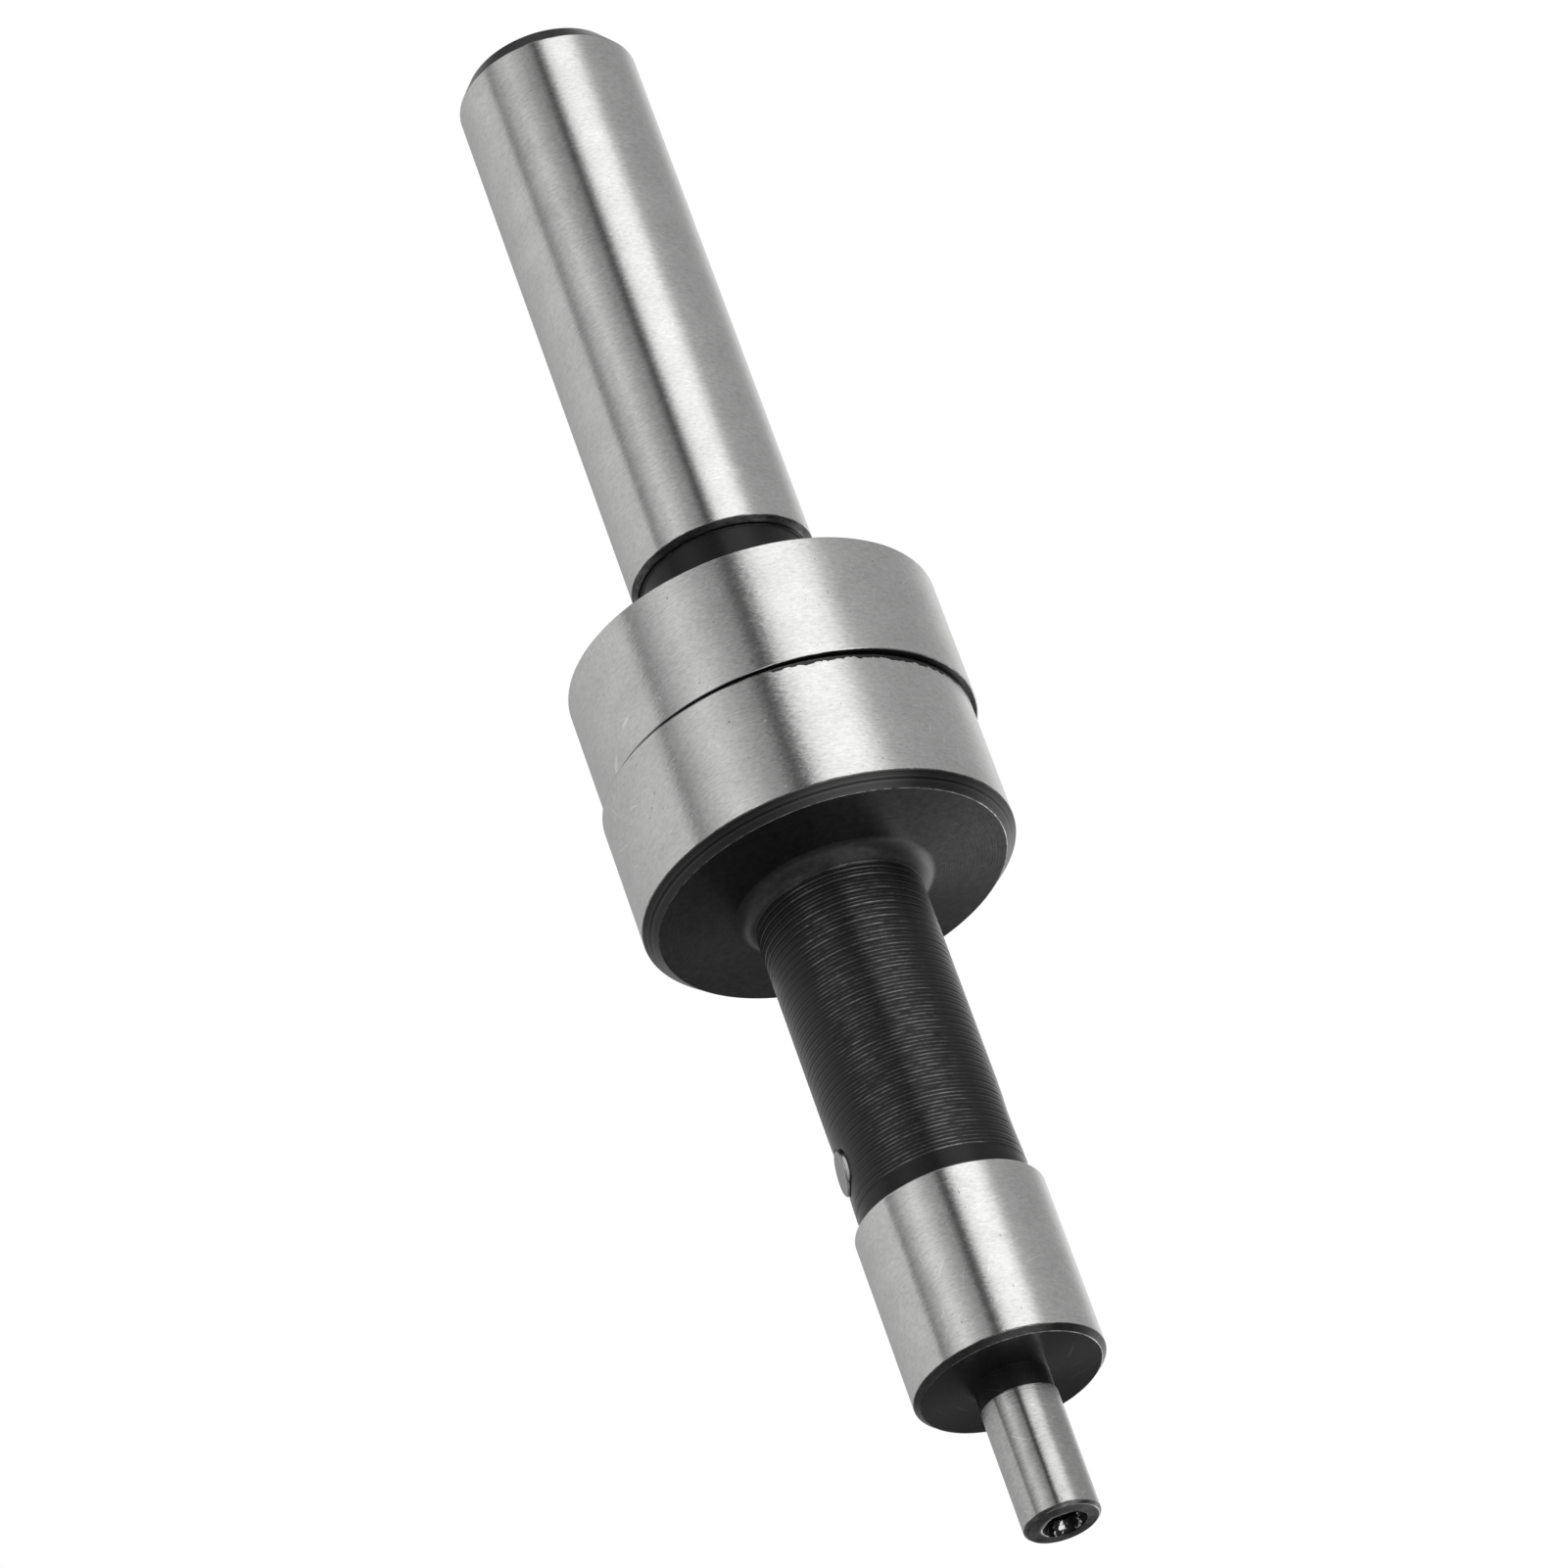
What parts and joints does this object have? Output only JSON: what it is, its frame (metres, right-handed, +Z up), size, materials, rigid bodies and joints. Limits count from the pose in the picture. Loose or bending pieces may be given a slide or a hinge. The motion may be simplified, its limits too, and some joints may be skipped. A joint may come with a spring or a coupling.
{
  "type": "edge finder",
  "caption": "Mechanical edge finder: a ground shank and a flanged stylus held face to face by an inner spring, so the stylus can slip sideways to find a workpiece's edge.",
  "frame": {"origin": "on the shank's axis, at the lower end of its ground length", "axes": "+Z up the shank towards the machine spindle, X along the pin in the stylus"},
  "size_m": [0.0203, 0.0201, 0.0917],
  "materials": {
    "ground_steel": "cylindrically ground bright steel with fine rings round the axis, black oxide left on what was not ground",
    "spring_steel": "drawn spring wire, dark and smooth",
    "pin_steel": "hardened steel pin, dull grey"
  },
  "bodies": {
    "arbor": {"shank_arbor": "ground_steel", "upper_spring_pin": "pin_steel"},
    "spring": {"tension_spring": "spring_steel"},
    "stylus": {"stylus": "ground_steel", "lower_spring_pin": "pin_steel"}
  },
  "joints": [
    {"name": "spring_along_upper_pin", "type": "slide", "parent": "arbor", "child": "spring", "axis": [0, 1, 0], "range_m": [-0.00087, 0.00073]},
    {"name": "stylus_along_lower_pin", "type": "slide", "parent": "spring", "child": "stylus", "axis": [1, 0, 0], "range_m": [-0.00047, 0.00113]}
  ]
}
